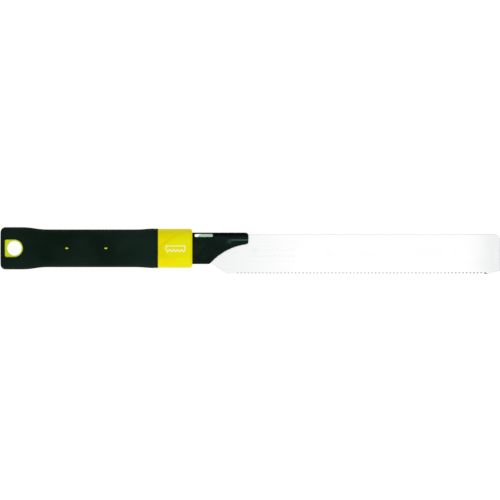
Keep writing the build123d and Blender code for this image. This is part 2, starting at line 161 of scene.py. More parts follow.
@contextmanager
def editing(piece: Object) -> Iterator[None]:
    """Keep a piece in edit mode for a block of operators.

    Args:
        piece: The piece to edit.

    Yields:
        Nothing; the block runs in edit mode with nothing selected.
    """
    make_active(piece)
    bpy.ops.object.mode_set(mode="EDIT")
    bpy.ops.mesh.select_all(action="DESELECT")
    yield
    bpy.ops.object.mode_set(mode="OBJECT")


def pick_points(piece: Object, test: Callable[[Vector], bool]) -> None:
    """Select the vertices whose place passes a test, in edit mode.

    Args:
        piece: The piece in edit mode.
        test: Takes a vertex's place.
    """
    bpy.ops.mesh.select_mode(type="VERT")
    bpy.ops.mesh.select_all(action="DESELECT")
    mesh = bmesh.from_edit_mesh(piece.data)
    for vertex in mesh.verts:
        if test(vertex.co):
            vertex.select_set(True)
    mesh.select_flush_mode()
    bmesh.update_edit_mesh(piece.data)


def pick_edges(piece: Object, test: Callable[[Vector, Vector], bool]) -> None:
    """Select the edges whose two ends pass a test, in edit mode.

    Args:
        piece: The piece in edit mode.
        test: Takes the places of an edge's two ends.
    """
    bpy.ops.mesh.select_mode(type="EDGE")
    bpy.ops.mesh.select_all(action="DESELECT")
    mesh = bmesh.from_edit_mesh(piece.data)
    for edge in mesh.edges:
        if test(edge.verts[0].co, edge.verts[1].co):
            edge.select_set(True)
    bmesh.update_edit_mesh(piece.data)


def pick_faces(piece: Object, test: Callable[[Vector, Vector], bool]) -> None:
    """Select the faces whose centre and normal pass a test, in edit mode.

    Args:
        piece: The piece in edit mode.
        test: Takes a face's centre and normal.
    """
    bpy.ops.mesh.select_mode(type="FACE")
    bpy.ops.mesh.select_all(action="DESELECT")
    mesh = bmesh.from_edit_mesh(piece.data)
    for face in mesh.faces:
        if test(face.calc_center_median(), face.normal):
            face.select_set(True)
    bmesh.update_edit_mesh(piece.data)


def move(x: float = 0.0, y: float = 0.0, z: float = 0.0) -> None:
    """Move what is selected."""
    bpy.ops.transform.translate(value=(x, y, z))


def scale(factors: tuple[float, float, float], about: Vector) -> None:
    """Scale what is selected about a point."""
    bpy.ops.transform.resize(value=factors, center_override=about)


def extrude(x: float = 0.0, y: float = 0.0, z: float = 0.0) -> None:
    """Extrude what is selected along a vector."""
    bpy.ops.mesh.extrude_region_move(TRANSFORM_OT_translate={"value": (x, y, z)})


def round_edges(width: float, segments: int) -> None:
    """Bevel the selected edges to a round of that width."""
    bpy.ops.mesh.bevel(offset=width, segments=segments, profile=0.5, affect="EDGES", clamp_overlap=False)


def slice_at(point: Vector, normal: tuple[float, float, float], drop_above: bool = False) -> None:
    """Cut the whole mesh with a plane, in edit mode.

    Args:
        point: A point of the plane.
        normal: The plane's normal.
        drop_above: Whether the side that the normal points to is removed and the cut closed.
    """
    bpy.ops.mesh.select_all(action="SELECT")
    bpy.ops.mesh.bisect(
        plane_co=point, plane_no=normal, use_fill=drop_above, clear_outer=drop_above, threshold=NEAR / 4
    )


def apply_modifier(piece: Object, kind: str, **settings: object) -> None:
    """Add a modifier with its settings and apply it.

    Args:
        piece: The piece that it changes.
        kind: The modifier's type.
        **settings: Values for the modifier.
    """
    modifier = piece.modifiers.new(kind.lower(), kind)
    for key, value in settings.items():
        setattr(modifier, key, value)
    make_active(piece)
    bpy.ops.object.modifier_apply(modifier=modifier.name)


def combine(piece: Object, other: Object, join: Join) -> None:
    """Combine a piece with another solid, which is used up.

    Args:
        piece: The piece that stays.
        other: The solid that is taken away, added or intersected.
        join: Which of these.
    """
    apply_modifier(
        piece, "BOOLEAN", operation=join.value, object=other, solver="EXACT", material_mode="TRANSFER"
    )
    bpy.data.objects.remove(other, do_unlink=True)


def tidy_mesh(piece: Object, merge: float = NEAR / 4) -> None:
    """Merge doubles and turn every face outwards.

    Args:
        piece: The piece to clean.
        merge: Largest distance between vertices that become one.
    """
    with editing(piece):
        bpy.ops.mesh.select_all(action="SELECT")
        bpy.ops.mesh.remove_doubles(threshold=merge)
        bpy.ops.mesh.dissolve_degenerate(threshold=merge)
        bpy.ops.mesh.normals_make_consistent(inside=False)


def smooth(piece: Object, angle: float = 35.0) -> None:
    """Shade a piece smooth up to an angle in degrees, with large faces kept flat."""
    make_active(piece)
    bpy.ops.object.shade_smooth_by_angle(angle=radians(angle))
    apply_modifier(piece, "WEIGHTED_NORMAL", keep_sharp=True, weight=100)


def dress(piece: Object, material: Material) -> None:
    """Give a piece one material all over, in its existing slots if it has any."""
    if not piece.material_slots:
        piece.data.materials.append(material)
    for slot in piece.material_slots:
        slot.material = material


def hand_over(piece: Object, body: Body, slot: Slot, *nodes: str) -> None:
    """Attach a finished piece to its body and hide the CAD nodes that it replaces.

    Args:
        piece: The finished piece.
        body: The body that it moves with.
        slot: The record's slot that its finish comes from; not used.
        *nodes: CAD nodes that it replaces.
    """
    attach(piece, body.value)
    if nodes:
        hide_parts(*nodes)
    LOG.info("%s: %d faces on %s", piece.name, len(piece.data.polygons), body.value)


def ease(value: float, start: float, end: float) -> float:
    """A smooth rise from 0 at start to 1 at end; start may be the larger.

    Args:
        value: Where it is read.
        start: Where the rise begins.
        end: Where it is complete.

    Returns:
        The height of the rise, from 0 to 1.
    """
    share = min(max((value - start) / (end - start), 0.0), 1.0)
    return share * share * (3 - 2 * share)


@dataclass(frozen=True)
class Datum:
    """Where the handle's front, centre line and middle plane lie in the row frame."""

    front: float
    axis: float
    middle: float

    @classmethod
    def read(cls) -> "Datum":
        """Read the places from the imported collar."""
        low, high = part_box("front_collar")
        return cls(high.x, (low.y + high.y) / 2, (low.z + high.z) / 2)

    def at(self, x: float, y: float = 0.0, z: float = 0.0) -> Vector:
        """A point given forwards of the collar's front, above the centre line and out from the middle."""
        return Vector((self.front + x, self.axis + y, self.middle + z))


def rounded_bar(
    name: str, low: Vector, high: Vector, radius: float, segments: int = 12
) -> Object:
    """A bar along x with rounded long edges.

    Args:
        name: The object's name.
        low: Lowest corner.
        high: Highest corner.
        radius: Radius of the four long edges.
        segments: Facets in each round.

    Returns:
        The bar.
    """
    bar = add_box(name, low, high)
    with editing(bar):
        pick_edges(bar, lambda a, b: abs(a.x - b.x) > NEAR)
        round_edges(radius, segments)
    return bar


# ---------------------------------------------------------------- finishes


class Graph:
    """A material's node tree with its output, its shader, Object coordinates and normal ready."""

    def __init__(self, name: str) -> None:
        """Start a material.

        Args:
            name: The material's name.
        """
        self.material = bpy.data.materials.new(name)
        self.material.use_nodes = True
        self.tree = self.material.node_tree
        self.tree.nodes.clear()
        output = self.add("ShaderNodeOutputMaterial")
        self.shader = self.add("ShaderNodeBsdfPrincipled")
        self.tree.links.new(self.shader.outputs[0], output.inputs["Surface"])
        coordinates = self.add("ShaderNodeTexCoord")
        self.place, self.normal = coordinates.outputs["Object"], coordinates.outputs["Normal"]

    def add(self, kind: str, **settings: object) -> Node:
        """Add a node and set its properties.

        Args:
            kind: The node's type.
            **settings: Properties of the node.

        Returns:
            The node.
        """
        node = self.tree.nodes.new(kind)
        for key, value in settings.items():
            setattr(node, key, value)
        return node

    def put(self, socket: NodeSocket, value: object) -> None:
        """Link a socket to another one, or give it a constant."""
        if isinstance(value, NodeSocket):
            self.tree.links.new(value, socket)
        else:
            socket.default_value = value

    def math(self, operation: str, a: object, b: object = 0.0, clamp: bool = False) -> NodeSocket:
        """Combine two numbers.

        Args:
            operation: The Math node's operation.
            a: First number or socket.
            b: Second number or socket.
            clamp: Whether the result is kept between 0 and 1.

        Returns:
            The result.
        """
        node = self.add("ShaderNodeMath", operation=operation, use_clamp=clamp)
        self.put(node.inputs[0], a)
        self.put(node.inputs[1], b)
        return node.outputs[0]

    def placed(self, stretch: Factors) -> NodeSocket:
        """Object coordinates, stretched.

        Args:
            stretch: Factor along each axis.

        Returns:
            The mapped place.
        """
        node = self.add("ShaderNodeMapping")
        self.put(node.inputs["Vector"], self.place)
        node.inputs["Scale"].default_value = stretch
        return node.outputs[0]

    def noise(
        self,
        size: float,
        detail: float = 2.0,
        stretch: Factors = (1, 1, 1),
        rough: float = 0.5,
        warp: float = 0.0,
    ) -> NodeSocket:
        """Noise with features of about a given size.

        Args:
            size: Size of a feature in metres.
            detail: Number of finer layers.
            stretch: Factor on each coordinate.
            rough: Strength of the finer layers.
            warp: How far the pattern is distorted.

        Returns:
            A value around 0.5.
        """
        node = self.add("ShaderNodeTexNoise")
        self.put(node.inputs["Vector"], self.placed(stretch))
        node.inputs["Scale"].default_value = 1 / size
        node.inputs["Detail"].default_value = detail
        node.inputs["Roughness"].default_value = rough
        node.inputs["Distortion"].default_value = warp
        return node.outputs["Fac"]

    def cells(self, size: float, feature: str = "F1", stretch: Factors = (1, 1, 1)) -> NodeSocket:
        """Distance to the points of a cell pattern of about a given size."""
        node = self.add("ShaderNodeTexVoronoi", feature=feature)
        self.put(node.inputs["Vector"], self.placed(stretch))
        node.inputs["Scale"].default_value = 1 / size
        return node.outputs["Distance"]

    def ramp(
        self, value: object, low: float, high: float, start: float = 0.0, end: float = 1.0
    ) -> NodeSocket:
        """Map a range of values smoothly onto another.

        Args:
            value: The input.
            low: Input at which the output is start.
            high: Input at which the output is end.
            start: Output below low.
            end: Output above high.

        Returns:
            The mapped value.
        """
        node = self.add("ShaderNodeMapRange", interpolation_type="SMOOTHSTEP")
        self.put(node.inputs["Value"], value)
        node.inputs["From Min"].default_value = low
        node.inputs["From Max"].default_value = high
        node.inputs["To Min"].default_value = start
        node.inputs["To Max"].default_value = end
        return node.outputs["Result"]

    def mix(self, share: object, a: object, b: object) -> NodeSocket:
        """Mix two colours.

        Args:
            share: Share of the second.
            a: First colour.
            b: Second colour.

        Returns:
            The mixed colour.
        """
        node = self.add("ShaderNodeMix", data_type="RGBA")
        self.put(node.inputs["Factor"], share)
        self.put(node.inputs[6], a)
        self.put(node.inputs[7], b)
        return node.outputs[2]

    def axes(self, of: NodeSocket | None = None) -> tuple[NodeSocket, NodeSocket, NodeSocket]:
        """The three parts of a vector, or of the Object coordinates."""
        node = self.add("ShaderNodeSeparateXYZ")
        self.put(node.inputs[0], of or self.place)
        return node.outputs[0], node.outputs[1], node.outputs[2]

    def bump(
        self, height: NodeSocket, distance: float, strength: float, below: NodeSocket | None = None
    ) -> NodeSocket:
        """Turn a height into a bumped normal.

        Args:
            height: The height, from 0 to 1.
            distance: What a height of 1 stands for, in metres.
            strength: Strength of the effect.
            below: A normal that this one is laid over.

        Returns:
            The normal.
        """
        node = self.add("ShaderNodeBump")
        node.inputs["Strength"].default_value = strength
        node.inputs["Distance"].default_value = distance
        self.put(node.inputs["Height"], height)
        if below is not None:
            self.put(node.inputs["Normal"], below)
        return node.outputs[0]

    def finish(self, **inputs: object) -> Material:
        """Set the shader's inputs and return the material.

        Args:
            **inputs: Values or sockets, with the inputs' names in lower case and underscores for spaces.

        Returns:
            The finished material.
        """
        names = {socket.name.lower().replace(" ", "_"): socket for socket in self.shader.inputs}
        for key, value in inputs.items():
            self.put(names[key], value)
        return self.material


@dataclass(frozen=True)
class SoftRubber:
    """Matt overmoulded rubber with a fine spark-eroded grain, with painted light making it paler towards the
    front end.
    """

    # where the painted light along the sleeve is brightest
    lit_end: float
    name: str = "grip_rubber"
    dark: Colour = (0.0026, 0.0078, 0.0044, 1)
    light: Colour = (0.0064, 0.0140, 0.0105, 1)
    # paler tone that the painted light at the front end fades to
    pale_tone: Colour = (0.0095, 0.0210, 0.0170, 1)
    gleam: Colour = (0.55, 0.95, 0.75, 1)
    grain: float = 0.55 * MM
    specular: float = 0.035

    def material(self) -> Material:
        """Build the material."""
        g = Graph(self.name)
        patches = g.ramp(g.noise(28 * MM, 3), 0.35, 0.68)
        speck = g.ramp(g.noise(0.9 * MM, 3), 0.42, 0.70)
        colour = g.mix(g.math("MULTIPLY", patches, 0.75), self.dark, self.light)
        colour = g.mix(g.math("MULTIPLY", speck, 0.35), colour, self.light)
        x, _, _ = g.axes()
        # painted light: paler towards the front end of the sleeve
        colour = g.mix(g.ramp(x, self.lit_end - 60 * MM, self.lit_end, 0.0, 0.45), colour, self.pale_tone)
        roughness = g.ramp(g.noise(12 * MM, 4), 0.3, 0.7, 0.66, 0.84)
        grain = g.cells(self.grain)
        fine = g.noise(0.25 * MM, 3)
        normal = g.bump(grain, 0.06 * MM, 0.55)
        normal = g.bump(fine, 0.03 * MM, 0.4, normal)
        return g.finish(
            base_color=colour,
            roughness=roughness,
            specular_ior_level=self.specular,
            specular_tint=self.gleam,
            normal=normal,
        )


@dataclass(frozen=True)
class PrintArea:
    """A pad-printed pictogram: the outline of a toothed bar, seen from either side."""

    centre: Vector
    half_length: float
    half_height: float
    tooth: float
    line: float
    ink: Colour = (0.86, 0.88, 0.84, 1)


@dataclass(frozen=True)
class MouldedPlastic:
    """Satin moulded plastic with faint flow marks and fine scuffs."""

    name: str
    base: Colour
    shade: Colour
    gleam: Colour = (1.0, 0.94, 0.06, 1)
    roughness: float = 0.38
    specular: float = 0.05
    print_area: PrintArea | None = None

    def pictogram(self, g: Graph, colour: NodeSocket) -> NodeSocket:
        """Lay the printed mark over a colour.

        Args:
            g: The material's graph.
            colour: The plastic's colour.

        Returns:
            The colour with the print.
        """
        area = self.print_area
        x, y, _ = g.axes()
        along = g.math("ABSOLUTE", g.math("SUBTRACT", x, area.centre.x))
        up = g.math("SUBTRACT", y, area.centre.y)
        soft = 0.06 * MM
        teeth = g.math("MULTIPLY", g.math("PINGPONG", along, area.tooth), 1.2)
        teeth = g.math("SUBTRACT", teeth, area.half_height)
        over_teeth = g.math("SUBTRACT", up, teeth)
        marks = []
        for inset in (0.0, area.line):
            length, top = area.half_length - inset, area.half_height - inset
            shape = g.math("MULTIPLY", g.ramp(along, length, length - soft), g.ramp(up, top, top - soft))
            marks.append(g.math("MULTIPLY", shape, g.ramp(over_teeth, 1.5 * inset, 1.5 * inset + soft)))
        outline = g.math("SUBTRACT", marks[0], marks[1], clamp=True)
        patchiness = g.ramp(g.noise(0.5 * MM, 4), 0.28, 0.40, 0.35, 1.0)
        return g.mix(g.math("MULTIPLY", outline, patchiness), colour, area.ink)

    def material(self) -> Material:
        """Build the material."""
        g = Graph(self.name)
        flow = g.ramp(g.noise(16 * MM, 3, warp=0.4), 0.35, 0.7)
        colour = g.mix(g.math("MULTIPLY", flow, 0.55), self.base, self.shade)
        fine = g.ramp(g.noise(1.1 * MM, 3), 0.5, 0.8)
        colour = g.mix(g.math("MULTIPLY", fine, 0.18), colour, self.shade)
        if self.print_area:
            colour = self.pictogram(g, colour)
        scuffs = g.ramp(g.noise(0.35 * MM, 3, stretch=(0.12, 1.0, 1.0)), 0.60, 0.72)
        roughness = g.math("ADD", g.ramp(g.noise(7 * MM, 3), 0.3, 0.7, -0.05, 0.07), self.roughness)
        roughness = g.math("ADD", roughness, g.math("MULTIPLY", scuffs, 0.12))
        normal = g.bump(g.noise(0.8 * MM, 2), 0.02 * MM, 0.35)
        normal = g.bump(scuffs, 0.01 * MM, 0.25, normal)
        return g.finish(
            base_color=colour,
            roughness=roughness,
            specular_ior_level=self.specular,
            specular_tint=self.gleam,
            normal=normal,
        )


@dataclass(frozen=True)
class BlackCoating:
    """Baked black coating, with painted shade on the folded spine and a painted highlight along the pinched
    flange's crease.
    """

    crease: Vector
    fold: float
    name: str = "bracket_coating"
    base: Colour = (0.0034, 0.0082, 0.0056, 1)
    pale_tone: Colour = (0.0068, 0.0130, 0.0105, 1)
    # painted shade on the folded spine
    spine_shade: Colour = (0.0010, 0.0010, 0.0028, 1)
    # colour of the painted highlight along the crease
    crease_highlight: Colour = (0.038, 0.088, 0.088, 1)
    gleam: Colour = (0.50, 0.95, 0.80, 1)
    specular: float = 0.04
    roughness: float = 0.26
    highlight_half_width: float = 0.95 * MM
    highlight_length: float = 6.0 * MM
    highlight_flare: float = 3.4 * MM

    def crease_highlight_mask(self, g: Graph) -> NodeSocket:
        """Painted highlight: a line along the crease and a soft patch where it begins."""
        x, y, _ = g.axes()
        along = g.math("SUBTRACT", x, self.crease.x)
        off = g.math("ABSOLUTE", g.math("SUBTRACT", y, self.crease.y))
        line = g.ramp(off, self.highlight_half_width, 0.25 * MM)
        line = g.math("MULTIPLY", line, g.ramp(along, -0.3 * self.highlight_length, 0.7 * self.highlight_length))
        patchiness = g.ramp(g.noise(0.6 * MM, 3, stretch=(0.25, 1, 1)), 0.25, 0.55, 0.55, 1.0)
        line = g.math("MULTIPLY", line, patchiness)
        low = g.math("ADD", g.math("SUBTRACT", y, self.crease.y), 1.2 * MM)
        far = g.math("SQRT", g.math("ADD", g.math("POWER", along, 2.0), g.math("POWER", low, 2.0)))
        patch = g.math("MULTIPLY", g.ramp(far, self.highlight_flare, 0.0), 0.34)
        return g.math("MAXIMUM", line, patch)

    def material(self) -> Material:
        """Build the material."""
        g = Graph(self.name)
        patches = g.ramp(g.noise(9 * MM, 4), 0.35, 0.7)
        colour = g.mix(patches, self.base, self.pale_tone)
        scratches = g.ramp(g.noise(0.22 * MM, 2, stretch=(0.10, 1.0, 1.0)), 0.66, 0.74)
        colour = g.mix(g.math("MULTIPLY", scratches, 0.2), colour, (0.03, 0.045, 0.04, 1))
        _, y, _ = g.axes()
        # painted shade: the folded spine is darkened where the round fold faces away from the light
        spine = g.ramp(y, self.fold - 2.2 * MM, self.fold + 0.4 * MM)
        colour = g.mix(g.math("MULTIPLY", spine, 0.95), colour, self.spine_shade)
        # painted highlight along the crease and at its start
        colour = g.mix(self.crease_highlight_mask(g), colour, self.crease_highlight)
        roughness = g.math("ADD", g.ramp(g.noise(4 * MM, 4), 0.3, 0.7, -0.05, 0.10), self.roughness)
        normal = g.bump(g.noise(0.7 * MM, 2), 0.02 * MM, 0.35)
        normal = g.bump(scratches, 0.01 * MM, 0.3, normal)
        return g.finish(
            base_color=colour,
            roughness=roughness,
            specular_ior_level=self.specular,
            specular_tint=self.gleam,
            normal=normal,
        )


@dataclass(frozen=True)
class ToothRow:
    """Where the teeth stand: the first and last upper-side bevels, the pitch and the gullets' line."""

    first: float
    last: float
    pitch: float
    gullets: float


@dataclass(frozen=True)
class GroundSteel:
    """Bright ground steel: lengthwise lines, greyer towards the tip, painted shade towards the root, on every
    tilted face and on the tang inside the head, dark marks over every second gullet and a faint etched sign.
    """

    tang: Vector
    sign: Vector
    tip: float
    row: ToothRow
    name: str = "blade_steel_ground"
    bright: Colour = (0.985, 0.990, 0.985, 1)
    dull: Colour = (0.850, 0.860, 0.858, 1)
    # painted shade of the tang inside the head
    tang_shade: Colour = (0.34, 0.65, 0.40, 1)
    etched: Colour = (0.80, 0.82, 0.81, 1)
    # painted shade on tilted faces, also the colour of the marks over the gullets
    facet_shade_and_mark: Colour = (0.24, 0.33, 0.30, 1)
    tip_facet_shade_and_mark: Colour = (0.03, 0.13, 0.10, 1)
    roughness: float = 0.30
    tip_length: float = 60.0 * MM
    root_shade_length: float = 90.0 * MM
    sign_half_length: float = 20.0 * MM
    sign_line: float = 0.45 * MM

    def pull_sign(self, g: Graph) -> NodeSocket:
        """The etched sign: an arrow that points at the handle over a row of short tooth marks."""
        x, y, _ = g.axes()
        along = g.math("SUBTRACT", x, self.sign.x)
        up = g.math("SUBTRACT", y, self.sign.y)
        inside = g.ramp(g.math("ABSOLUTE", along), self.sign_half_length, self.sign_half_length - 0.3 * MM)
        shaft = g.ramp(g.math("ABSOLUTE", up), self.sign_line, self.sign_line - 0.2 * MM)
        from_point = g.math("ADD", along, self.sign_half_length)
        head = g.math("SUBTRACT", g.math("MULTIPLY", from_point, 0.5), g.math("ABSOLUTE", up))
        head = g.math("MULTIPLY", g.ramp(head, 0.0, 0.2 * MM), g.ramp(from_point, 6.0 * MM, 5.8 * MM))
        low = g.math("ADD", up, 6.5 * MM)
        zigzag = g.math("SUBTRACT", low, g.math("MULTIPLY", g.math("PINGPONG", along, 2.4 * MM), 0.9))
        teeth = g.ramp(g.math("ABSOLUTE", zigzag), 0.55 * MM, 0.35 * MM)
        mark = g.math("MAXIMUM", g.math("MAXIMUM", shaft, head), teeth)
        grain = g.ramp(g.noise(0.4 * MM, 3), 0.3, 0.6, 0.55, 1.0)
        return g.math("MULTIPLY", g.math("MULTIPLY", mark, inside), grain)

    def gullet_marks(self, g: Graph, upright: NodeSocket) -> NodeSocket:
        """Dark marks on the bevelled side of every second tooth, just over the gullets.

        Args:
            g: The material's graph.
            upright: The normal's upright part.

        Returns:
            The marks, from 0 to 1.
        """
        x, y, _ = g.axes()
        turned = g.math("MULTIPLY", g.math("LESS_THAN", upright, 0.0), self.row.pitch)
        along = g.math("ADD", g.math("SUBTRACT", x, self.row.first + 0.3 * MM), turned)
        near = g.ramp(g.math("PINGPONG", along, self.row.pitch), 1.0 * MM, 0.5 * MM)
        near = g.math("MULTIPLY", near, g.ramp(x, self.row.first - 1.5 * MM, self.row.first - 1.0 * MM))
        near = g.math("MULTIPLY", near, g.ramp(x, self.row.last + 1.5 * MM, self.row.last + 1.0 * MM))
        return g.math("MULTIPLY", near, g.ramp(y, self.row.gullets + 0.5 * MM, self.row.gullets - 0.1 * MM))

    def material(self) -> Material:
        """Build the material."""
        g = Graph(self.name)
        x, y, _ = g.axes()
        lines = g.noise(0.16 * MM, 4, stretch=(0.006, 1.0, 1.0), rough=0.6)
        bands = g.noise(2.4 * MM, 3, stretch=(0.02, 1.0, 1.0))
        cloud = g.noise(22 * MM, 4)
        # painted shade: darker towards the root, next to the black head
        root_shade = g.ramp(x, self.tang.x, self.tang.x + self.root_shade_length, 0.75, 0.0)
        dullness_and_shade = g.math("MULTIPLY", g.ramp(lines, 0.42, 0.70), 0.20)
        dullness_and_shade = g.math("ADD", dullness_and_shade, g.math("MULTIPLY", g.ramp(bands, 0.45, 0.75), 0.12))
        dullness_and_shade = g.math("ADD", dullness_and_shade, g.math("MULTIPLY", g.ramp(cloud, 0.5, 0.8), 0.20))
        # greyer towards the tip
        tip = g.ramp(x, self.tip - self.tip_length, self.tip)
        dullness_and_shade = g.math("ADD", dullness_and_shade, g.math("MULTIPLY", g.math("POWER", tip, 4.0), 1.1))
        dullness_and_shade = g.math("ADD", dullness_and_shade, root_shade, clamp=True)
        colour = g.mix(dullness_and_shade, self.bright, self.dull)
        colour = g.mix(g.math("MULTIPLY", self.pull_sign(g), 0.5), colour, self.etched)
        # painted shade: faces that are not flat, such as tooth bevels and eased edges, are darkened by their
        # normal, more towards the tip
        _, _, upright = g.axes(g.normal)
        facets = g.ramp(g.math("ABSOLUTE", upright), 0.985, 0.95)
        marked = g.math("MULTIPLY", self.gullet_marks(g, upright), g.ramp(tip, 0.0, 0.35, 0.36, 1.0))
        colour = g.mix(g.math("MAXIMUM", facets, marked), colour, g.mix(tip, self.facet_shade_and_mark, self.tip_facet_shade_and_mark))
        # painted shade on the part of the tang inside the head, broken up by noise
        oil = g.ramp(x, self.tang.x, self.tang.x - 2 * MM)
        oil = g.math("MULTIPLY", oil, g.ramp(y, self.tang.y, self.tang.y + 2 * MM))
        film = g.ramp(g.noise(1.5 * MM, 3), 0.3, 0.7, 0.8, 1.0)
        colour = g.mix(g.math("MULTIPLY", oil, film), colour, self.tang_shade)
        roughness = g.math("ADD", g.ramp(lines, 0.3, 0.7, -0.05, 0.07), self.roughness)
        roughness = g.math("ADD", roughness, g.ramp(cloud, 0.4, 0.7, 0.0, 0.05))
        roughness = g.math("ADD", roughness, g.math("MULTIPLY", facets, 0.14))
        normal = g.bump(lines, 0.01 * MM, 0.16)
        return g.finish(base_color=colour, metallic=1.0, roughness=roughness, normal=normal)


@dataclass(frozen=True)
class PlainSteel:
    """Cold-rolled or turned steel under a thin film of oil."""

    name: str
    bright: Colour
    dull: Colour
    roughness: float = 0.34

    def material(self) -> Material:
        """Build the material."""
        g = Graph(self.name)
        mottle = g.ramp(g.noise(1.6 * MM, 4), 0.35, 0.7)
        colour = g.mix(mottle, self.bright, self.dull)
        roughness = g.math("ADD", g.ramp(g.noise(0.8 * MM, 3), 0.3, 0.7, -0.06, 0.10), self.roughness)
        normal = g.bump(g.noise(0.2 * MM, 3), 0.01 * MM, 0.3)
        return g.finish(base_color=colour, metallic=1.0, roughness=roughness, normal=normal)


# ---------------------------------------------------------------- sub-assemblies


@dataclass
class Grip:
    """The soft sleeve moulded over the core, with its D-shaped window and two lens-shaped windows."""

    datum: Datum
    waist_half: float = 16.9 * MM
    front_half: float = 17.8 * MM
    butt_straight: float = 18.0 * MM
    butt_fall: float = 26.0 * MM
    front_flare: float = 22.0 * MM
    side_round: float = 10.9 * MM
    butt_round: float = 4.5 * MM
    front_round: float = 0.5 * MM
    wall: float = 2.0 * MM
    lip_width: float = 2.2 * MM
    groove_width: float = 0.7 * MM
    groove_depth: float = 0.4 * MM
    seam: float = 0.08 * MM
    seam_half_width: float = 0.18 * MM
    hole_from_butt: float = 12.5 * MM
    window_half: float = 7.8 * MM
    window_rear_margin: float = 4.1 * MM
    window_corner: float = 1.6 * MM
    window_flare: float = 0.25 * MM
    pips_from_butt: tuple[float, float] = (59.8 * MM, 94.9 * MM)
    pip_length: float = 3.0 * MM
    pip_width: float = 1.4 * MM
    pip_flare: float = 0.15 * MM
    steps: int = 12

    def __post_init__(self) -> None:
        """Read the sleeve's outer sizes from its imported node."""
        low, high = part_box("grip_sleeve")
        self.butt = low.x - self.datum.front
        self.front = high.x - self.datum.front
        self.butt_half = (high.y - low.y) / 2
        self.half = (high.z - low.z) / 2

    def run(self, start: float, end: float, half_start: float, half_end: float) -> list[tuple[float, float]]:
        """Stations of one smooth change of height.

        Args:
            start: Where it begins along x.
            end: Where it ends.
            half_start: Half height at its start.
            half_end: Half height at its end.

        Returns:
            Places along x with their half heights.
        """
        middle = (start + end) / 2
        found = []
        for i in range(self.steps + 1):
            t = i / self.steps
            x = start * (1 - t) ** 3 + 3 * middle * t * (1 - t) + end * t**3
            found.append((x, half_start + (half_end - half_start) * ease(t, 0, 1)))
        return found

    def stations(self) -> list[tuple[float, float]]:
        """Places along x where the outline bends, with the half height at each."""
        fall = self.butt + self.butt_straight
        flare = self.front - self.front_flare
        found = self.run(fall, fall + self.butt_fall, self.butt_half, self.waist_half)
        return found + self.run(flare, self.front, self.waist_half, self.front_half)

    def body(self, name: str, inset: float, overrun: float = 0.0) -> Object:
        """The sleeve's outer volume, shrunk by an inset on every side but the front.

        Args:
            name: The object's name.
            inset: How far it is shrunk.
            overrun: How far it runs past the front.

        Returns:
            The closed volume.
        """
        half, waist = self.half - inset, self.waist_half - inset
        low = self.datum.at(self.butt + inset, -waist, -half)
        high = self.datum.at(self.front, waist, half)
        bar = rounded_bar(name, low, high, self.side_round - inset)
        stations = self.stations()
        with editing(bar):
            for x, _ in stations[:-1]:
                slice_at(self.datum.at(x), (1, 0, 0))
            for x, height in [(self.butt + inset, self.butt_half), *stations]:
                for side in (1, -1):
                    place = self.datum.at(x).x
                    pick_points(bar, lambda p: abs(p.x - place) < NEAR and (p.y - self.datum.axis) * side > 0)
                    move(y=side * (height - self.waist_half))
            # a section through each small window keeps its hole on an edge of the flat faces
            for from_butt in self.pips_from_butt:
                slice_at(self.datum.at(self.butt + from_butt), (1, 0, 0))
            rear = self.datum.at(self.butt + inset).x
            pick_edges(bar, lambda a, b: max(a.x, b.x) < rear + NEAR)
            round_edges(max(self.butt_round - inset, 1.0 * MM), 9)
            if overrun:
                front = self.datum.at(self.front).x
                pick_points(bar, lambda p: p.x > front - NEAR)
                move(x=overrun)
        return bar

    def detail(self, body: Object) -> None:
        """Round the front edge, sink the groove behind the lip and raise the mould's parting line.

        Args:
            body: The outer volume.
        """
        at = self.datum.at
        front = at(self.front).x
        groove = self.front - self.lip_width - self.groove_width / 2
        edges = (-0.5, -0.22, 0.22, 0.5)
        with editing(body):
            pick_edges(body, lambda a, b: min(a.x, b.x) > front - NEAR)
            round_edges(self.front_round, 3)
            for share in edges:
                slice_at(at(groove + share * self.groove_width), (1, 0, 0))
            reach = 0.3 * self.groove_width
            pick_points(body, lambda p: abs(p.x - at(groove).x) < reach)
            narrow = (self.front_half - self.groove_depth) / self.front_half
            thin = (self.half - self.groove_depth) / self.half
            scale((1, narrow, thin), at(groove))
            for share in (-1, 0, 1):
                slice_at(at(0, 0, share * self.seam_half_width), (0, 0, 1))
            for side in (1, -1):
                pick_points(
                    body,
                    lambda p: abs(p.z - self.datum.middle) < NEAR
                    and (p.y - self.datum.axis) * side > self.waist_half / 2
                    and p.x < at(groove - self.groove_width).x,
                )
                move(y=side * self.seam)

    def flare_ends(self, cutter: Object, surface: float, width: float, centre: Vector, radius: float) -> None:
        """Widen both ends of a cutter, so that it leaves a bevelled lip.

        Args:
            cutter: The upright cutter.
            surface: Height of the surface that it cuts, from the middle plane.
            width: Width of the lip.
            centre: The point that the ends widen about.
            radius: The cutter's usual radius there.
        """
        grow = 1 + (width + 1 * MM) / radius
        with editing(cutter):
            for side in (1, -1):
                slice_at(self.datum.at(0, 0, side * (surface - width)), (0, 0, 1))
            for side in (1, -1):
                pick_points(cutter, lambda p: (p.z - self.datum.middle) * side > surface)
                scale((grow, grow, 1), centre)

